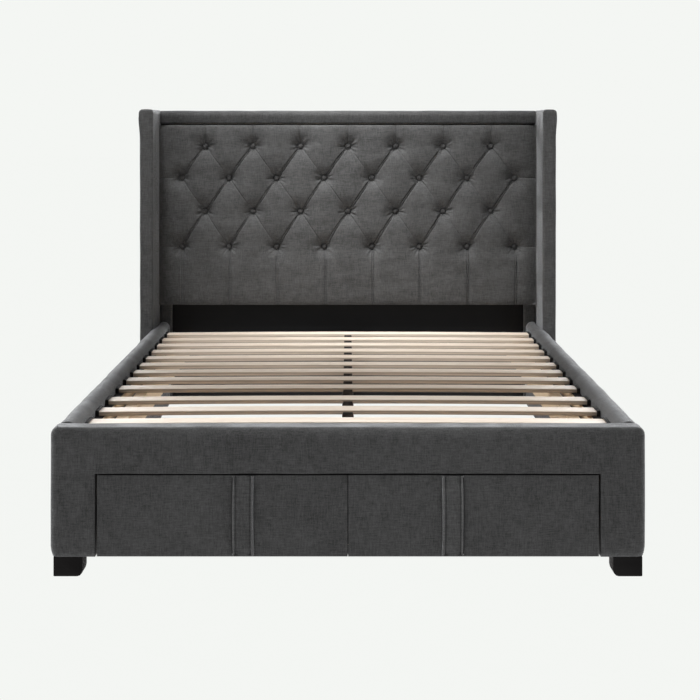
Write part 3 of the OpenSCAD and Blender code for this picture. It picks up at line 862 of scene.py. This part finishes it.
def make_foot_end():
    """The foot end as one upholstered arch over the drawers, lofted round its opening."""
    outer_x, inner_x = post_high.x, post_low.x
    bottom, top, lintel = post_low.z, post_high.z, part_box("foot_rail_cover")[0].z
    depth = post_high.y - post_low.y
    corner = 18 * MM
    hem = 5 * MM
    inner = (inner_x, lintel)
    right = [((outer_x, z), (inner_x, z)) for z in spread(bottom, lintel, 12 * MM)]
    right += [((outer_x, z), inner) for z in spread(lintel, top - corner, 12 * MM)[1:]]
    right += [((outer_x - corner + corner * math.cos(angle),
                top - corner + corner * math.sin(angle)), inner)
              for angle in np.linspace(0, math.pi / 2, 6)[1:]]
    right += [((x, top), inner) for x in spread(outer_x - corner, inner_x, 12 * MM)[1:-1]]
    middle = [((x, top), (x, lintel)) for x in spread(inner_x, -inner_x, 16 * MM)[:-1]]
    left = [((-o[0], o[1]), (-i[0], i[1])) for o, i in right[::-1]]
    ordered = right + middle + left
    rings = []
    last = len(ordered) - 1
    for index, (outer_point, inner_point) in enumerate(ordered):
        outer_point, inner_point = np.array(outer_point), np.array(inner_point)
        width = np.linalg.norm(outer_point - inner_point)
        ends = min(index, last - index)
        inset = hem * (1 - math.sin(math.pi / 2 * min(1, ends / 2))) if ends < 2 else 0
        section = rounded((0, front_y), (width, front_y + depth), mm(26, 3, 2, 12),
                          (24, 9, 24, 9), inset, 8)
        section[:, 0] += np.where(section[:, 0] > width / 2, inset, 0)
        share = section[:, 0] / width
        spot = outer_point + (inner_point - outer_point) * share[:, None]
        rings.append(np.column_stack([spot[:, 0], section[:, 1], spot[:, 1]]))
    foot_end = loft("foot_end", rings, cloth)
    # Painted shade: the faces inside the drawer opening, more than 5 mm behind the front, get the
    # black lining.
    paint_lining_as_shade(foot_end, lambda centre: abs(centre.x) < inner_x + 1 * MM
               and centre.z < lintel + 1 * MM and centre.y > front_y + 5 * MM)
    wobble(foot_end, 0.6 * MM, 0.2, 90)
    finish_cloth(foot_end, 0.85, "foot_rail_cover", "foot_rail_board", "foot_post_cover_left",
                 "foot_post_cover_right", "foot_post_left", "foot_post_right")


# ---------------- drawers

def make_drawer_front(side, name):
    low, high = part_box(f"drawer_{name}_front_cover")
    turned_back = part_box(f"drawer_{name}_front_board")[1].y - 1 * MM

    def relief(x, z):
        middle_x, middle_z = (low.x + high.x) / 2, (low.z + high.z) / 2
        crown = 1 - ((x - middle_x) / (high.x - middle_x)) ** 4
        crown = crown * (1 - ((z - middle_z) / (high.z - middle_z)) ** 4)
        return 1.4 * MM * (1 - crown) + 0.5 * MM * face_ripple(x, z, 0.13, 100 + side)

    front = panel(f"drawer_{name}_padded_front", (low, high), turned_back, 2.4 * MM, 5 * MM, cloth,
                  relief)
    # Painted shade: the drawer front's edges more than 6 mm behind its face, in the gaps round it,
    # get the black lining.
    paint_lining_as_shade(front, lambda centre: centre.y > low.y + 6 * MM)
    finish_cloth(front, 0.9, f"drawer_{name}_front_cover", body=f"drawer_{name}")


def pull_surface(low, high, side, share):
    """A strap's outer face at a share of its height, as (shift along X, y, z).

    It bows out between its seams and leans a little outwards at mid height.
    """
    seam = 12 * MM
    lean = side * 1.2 * MM * math.sin(math.pi * share)
    z = low.z + 3 * MM + (high.z - low.z - 3 * MM) * share
    rise = np.clip((z - low.z - seam) / (high.z - low.z - 2 * seam), 0, 1)
    bow = 0.7 * (high.y - low.y - 2.5 * MM)
    return lean, high.y - 2.5 * MM - bow * (1 - (2 * rise - 1) ** 4), z


def make_pull(side, name):
    """A strap of doubled cloth with a corded edge down each long side."""
    low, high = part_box(f"drawer_{name}_pull")
    cord = 2.6 * MM
    half = (high.x - low.x) / 2 - 1.5 * MM
    centre = (high.x + low.x) / 2
    across = np.concatenate([
        spread(-half, -half + 4 * cord, 0.7 * MM)[:-1],
        spread(-half + 4 * cord, half - 4 * cord, 3 * MM),
        spread(half - 4 * cord, half, 0.7 * MM)[1:],
    ])
    from_edge = half - np.abs(across)
    tube = 3.2 * MM * np.sqrt(np.clip(1 - ((from_edge - cord) / cord) ** 2, 0, 1))
    groove = 1.6 * MM * np.exp(-((from_edge - 2.5 * cord) / (0.6 * cord)) ** 2)
    belly = 0.9 * MM * np.clip((from_edge - 3 * cord) / (10 * MM), 0, 1)
    rings = []
    for share in spread(0, 1, 0.02):
        lean, y, z = pull_surface(low, high, side, share)
        outside = np.column_stack([
            centre + across + lean, y + groove - tube - belly, np.full(len(across), z)])
        inside = outside[::-1].copy()
        # The inner layer reaches 2.4 mm past each long edge, so that a painted shadow line shows
        # beside the strap.
        inside[:, 0] += 2.4 * MM * np.sign(across[::-1]) * (from_edge[::-1] < 2 * MM)
        inside[:, 1] = y + 2.2 * MM
        rings.append(np.concatenate([outside, inside]))
    strap = loft(f"drawer_{name}_strap_pull", rings, strap_cloth, cap=(0.5,))
    # Painted highlight: the corded hems get the lighter copy of the strap cloth.
    paint_faces(strap, hem_painted_highlight, lambda spot: abs(spot.x - centre) > half - 1.6 * cord)
    # Painted shadow: the faces that reach past the strap's edges get the black lining.
    paint_lining_as_shade(strap, lambda spot: abs(spot.x - centre) > half + 1.3 * MM)
    wobble(strap, 0.3 * MM, 0.06, 110 + side)
    finish_piece(strap, f"drawer_{name}", "strap_fabric", f"drawer_{name}_pull")
    make_stitches(side, name, low, high, centre, half - 2.35 * cord)


def make_stitches(side, name, low, high, centre, offset):
    """A row of short stitches down the inner edge of each hem."""
    stitch, gap, thickness = 3.0 * MM, 1.4 * MM, 0.42 * MM
    points, faces = [], []
    around, along = 6, 5
    count = int((high.z - low.z) / (stitch + gap))
    for edge in (LEFT, RIGHT):
        for i in range(count):
            start = len(points)
            z0 = (i + 0.15) / count
            z1 = z0 + stitch / (high.z - low.z)
            for j in range(along):
                share = j / (along - 1)
                lean, y, z = pull_surface(low, high, side, z0 + (z1 - z0) * share)
                lift = 0.5 * MM * math.sin(math.pi * share)
                radius = thickness * (0.35 + 0.65 * math.sin(math.pi * share))
                for k in range(around):
                    angle = 2 * math.pi * k / around
                    points.append((centre + edge * offset + lean + radius * math.cos(angle),
                                   y + 1.1 * MM - lift + radius * math.sin(angle), z))
            faces += ring_faces(along, around, start)
            faces.append(tuple(start + k for k in range(around)))
            faces.append(tuple(start + (along - 1) * around + k for k in range(around)))
    row = make_object(f"drawer_{name}_strap_stitches", points, faces, thread)
    finish_piece(row, f"drawer_{name}", "strap_fabric")


# ---------------- slats

SLAT_WIDTH = 65 * MM
SLAT_THICKNESS = 12 * MM


def slat_fronts():
    """The front edge of each slat, read off the CAD node's points."""
    node = bpy.data.objects["slats"]
    ys = np.unique(np.round(get_points(node)[:, 1], 4))
    return [y for y in ys if np.any(np.abs(ys - (y + SLAT_WIDTH)) < 0.2 * MM)]


def make_slats():
    low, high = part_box("slats")
    half = high.x
    bow = (high.z - low.z) - SLAT_THICKNESS
    end_top = high.z - bow
    rng = np.random.default_rng(7)
    for index, y in enumerate(slat_fronts()):
        warp = rng.uniform(-0.5, 0.5) * MM
        rings = []
        stations, insets = eased_ends(-half, half, 1 * MM, 40 * MM, turns=3)
        for x, inset in zip(stations, insets):
            lift = end_top + bow * (1 - (x / half) ** 2) - SLAT_THICKNESS + warp * math.cos(3 * x)
            ring = rounded((y, 0), (y + SLAT_WIDTH, SLAT_THICKNESS), mm(2.2, 2.2, 2.2, 2.2),
                           (9, 2, 9, 2), inset, 4)
            ring[:, 1] += lift
            rings.append(place_ring(ring, x, "x"))
        slat = loft(f"slat_{index + 1:02d}", rings, birch, cap=(0.9, 0.4))
        mark_edges(slat, end_top, bow, half)
        finish_piece(slat, "bed_frame", "birch_slats", "slats")


def mark_edges(slat, end_top, bow, half):
    """Stores how deep each point lies in the slat, and whether it is on a sawn edge."""
    points = get_points(slat)
    surface = end_top + bow * (1 - (points[:, 0] / half) ** 2)
    depth = (surface - points[:, 2]) / SLAT_THICKNESS
    normals = get_normals(slat)
    edge = np.clip((np.maximum(np.abs(normals[:, 1]), np.abs(normals[:, 0])) - 0.75) / 0.2, 0, 1)
    for name, values in (("depth_in_slat", depth), ("edge_of_slat", edge)):
        attribute = slat.data.attributes.new(name, "FLOAT", "POINT")
        attribute.data.foreach_set("value", values.astype(np.float32))


# ---------------- hard parts, in their CAD shape

def make_hard_parts():
    """Every part that shows no cloth, with its edges eased by a width in mm."""
    listed = [
        (black_wood, "bed_frame", "black_wood", 2.2,
         "front_foot_left front_foot_right rear_foot_left rear_foot_right"),
        (black_plastic, "bed_frame", "black_plastic", 0.8, "slat_holders_left slat_holders_right"),
        (seat_plastic, "bed_frame", "black_plastic", 0.8, "centre_slat_seats"),
        (pine_y, "bed_frame", "pine", 1.5,
         "slat_ledge_left slat_ledge_right drawer_beam_left drawer_beam_right runner_boards"),
        (pine_x, "bed_frame", "pine", 1.5, "headboard_mid_rail headboard_bottom_rail"),
        (plywood, "bed_frame", "plywood", 0.6, "headboard_panel"),
        (black_steel, "bed_frame", "black_steel", 0.8, "centre_beam centre_legs"),
        (zinc_steel, "bed_frame", "zinc_steel", 0.3, "drawer_runner_rails corner_hardware"),
    ]
    for _, name in SIDES:
        drawer = f"drawer_{name}"
        listed += [
            (pine_x, drawer, "pine", 1.2, f"{drawer}_front_board {drawer}_back"),
            (pine_y, drawer, "pine", 1.2, f"{drawer}_sides"),
            (plywood, drawer, "plywood", 0.5, f"{drawer}_bottom"),
            (zinc_steel, drawer, "zinc_steel", 0.3, f"{drawer}_slides"),
            (zinc_steel, f"runner_{name}", "zinc_steel", 0.3, f"runner_middles_{name}"),
        ]
    for material, body, slot, width, nodes in listed:
        for node in nodes.split():
            part = eased_copy(node, material, width * MM)
            finish_piece(part, body, slot)
            if node == "runner_boards":
                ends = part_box(node)[0].y + 3 * MM
                paint_lining_as_shade(part, lambda centre: centre.y < ends)
            if node == "headboard_panel":
                points = get_points(part)
                points[:, 2] = np.minimum(points[:, 2], pad_high.z - 14 * MM)
                set_points(part, points)


# ---------------- stage, light and camera

BACKGROUND = (0.904, 0.921, 0.896)


def make_stage():
    """A plain pale floor that meets an equally pale surround. Under the bed a painted shadow
    darkens it.
    """
    size = 60
    tree = Tree("pale_floor")
    place = tree.node("SeparateXYZ", Vector=tree.position)
    sides, front, back = (0.64, 0.74), (-0.872, -0.835), (0.86, 0.96)
    # Painted shadow: the glowing floor is darkened under the bed, from just behind the foot end to
    # the headboard.
    bed_shadow = tree.range(tree.math("ABSOLUTE", place.outputs["X"]), *sides, 1, 0)
    bed_shadow = tree.math("MULTIPLY", bed_shadow, tree.range(place.outputs["Y"], *front, 0, 1))
    bed_shadow = tree.math("MULTIPLY", bed_shadow, tree.range(place.outputs["Y"], *back, 1, 0))
    grain = tree.noise(tree.position, 9, detail=3)
    pale = tree.ramp(grain, [(0.2, BACKGROUND), (0.8, shaded(BACKGROUND, 0.996))])
    tree.glow(tree.mix(bed_shadow, pale, shaded(BACKGROUND, 0.03)))
    points = [(-size, -size, 0), (size, -size, 0), (size, size, 0), (-size, size, 0)]
    floor = make_object("floor", points, [(0, 1, 2, 3)], tree.material, smooth=False)

    tree = Tree("pale_surround")
    tree.glow(BACKGROUND)
    rows, around = 12, 48
    points = []
    for height in np.linspace(0, math.pi / 2, rows + 1):
        for turn in np.linspace(0, 2 * math.pi, around, endpoint=False):
            points.append((size * math.cos(height) * math.cos(turn),
                           size * math.cos(height) * math.sin(turn),
                           size * math.sin(height) - 0.01))
    dome = make_object("surround", points, ring_faces(rows + 1, around), tree.material)
    for part in (floor, dome):
        part.visible_diffuse = False
        part.visible_glossy = False
        part.visible_shadow = False


def put_lamp(name, data, place, target, power):
    """Hangs a lamp at a place and turns it towards a target."""
    data.energy = power
    lamp = bpy.data.objects.new(name, data)
    lamp.location = place
    lamp.rotation_mode = "QUATERNION"
    lamp.rotation_quaternion = Vector(np.subtract(target, place)).to_track_quat("-Z", "Y")
    lamp.visible_camera = False
    bpy.context.scene.collection.objects.link(lamp)


def area_light(name, place, target, size, power, spread=180):
    data = bpy.data.lights.new(name, "AREA")
    data.shape = "RECTANGLE"
    data.spread = math.radians(spread)
    data.size, data.size_y = size
    put_lamp(name, data, place, target, power)


def spot_light(name, place, target, radius, half_angle, power):
    data = bpy.data.lights.new(name, "SPOT")
    data.shadow_soft_size = radius
    data.spot_size = math.radians(2 * half_angle)
    data.spot_blend = 0.6
    put_lamp(name, data, place, target, power)


def make_light():
    """A white wall behind, dimmer ones beside, and lamps for the headboard, slats and foot end."""
    world = bpy.data.worlds.new("studio")
    world.use_nodes = True
    tree = Nodes(world.node_tree)
    direction = tree.node("SeparateXYZ", Vector=tree.node("TexCoord").outputs["Generated"])

    def between(axis, *ends):
        return tree.range(direction.outputs[axis], *ends, "SMOOTHSTEP")

    low_band = tree.math("MULTIPLY", between("Z", -0.08, 0.0, 0, 1), between("Z", 0.4, 0.55, 1, 0))
    back, front = between("Y", 0.1, 0.5, 0, 8.5), between("Y", -0.8, -0.5, 0.06, 0)
    left, right = between("X", -0.7, -0.4, 1.2, 0), between("X", 0.4, 0.7, 0, 0.6)
    around = tree.total(back, front, left, right)
    from_below = between("Z", -0.08, 0.0, 0.95, 0)
    background = tree.nodes["Background"]
    tree.link(tree.total(tree.math("MULTIPLY", low_band, around), from_below),
              background.inputs["Strength"])
    background.inputs["Color"].default_value = (1, 1, 1, 1)
    bpy.context.scene.world = world
    spot_light("key", (-0.72, -0.2, 4.2), (0.0, 0.93, 0.96), 0.6, 14, 1130)
    area_light("overhead", (0, 0.1, 3.6), (0, 0.1, 0), (1.0, 1.8), 11)
    area_light("foot", (0, -1.06, 2.4), (0, -1.06, 0.4), (1.4, 0.3), 2.5, spread=40)
    bpy.context.scene.view_settings.view_transform = "Standard"


def make_camera():
    """A level camera ahead of the foot end, shifted so that the bed stands high in the frame."""
    data = bpy.data.cameras.new("camera")
    data.sensor_width = 36
    data.lens = 74.006
    data.shift_x, data.shift_y = 0.003, -0.314
    camera = bpy.data.objects.new("camera", data)
    distance, height = 3.634, 1.130
    camera.location = (0, front_y - distance, height)
    camera.rotation_euler = (math.pi / 2, 0, 0)
    bpy.context.scene.collection.objects.link(camera)
    bpy.context.scene.camera = camera


make_camera()
make_pad()
make_buttons()
make_border()
make_lower_panel()
make_back_lining()
make_foot_end()
for side, name in SIDES:
    make_stile(side, name)
    make_wing(side, name)
    make_side_rail(side, name)
    make_drawer_front(side, name)
    make_pull(side, name)
make_slats()
make_hard_parts()
make_stage()
make_light()
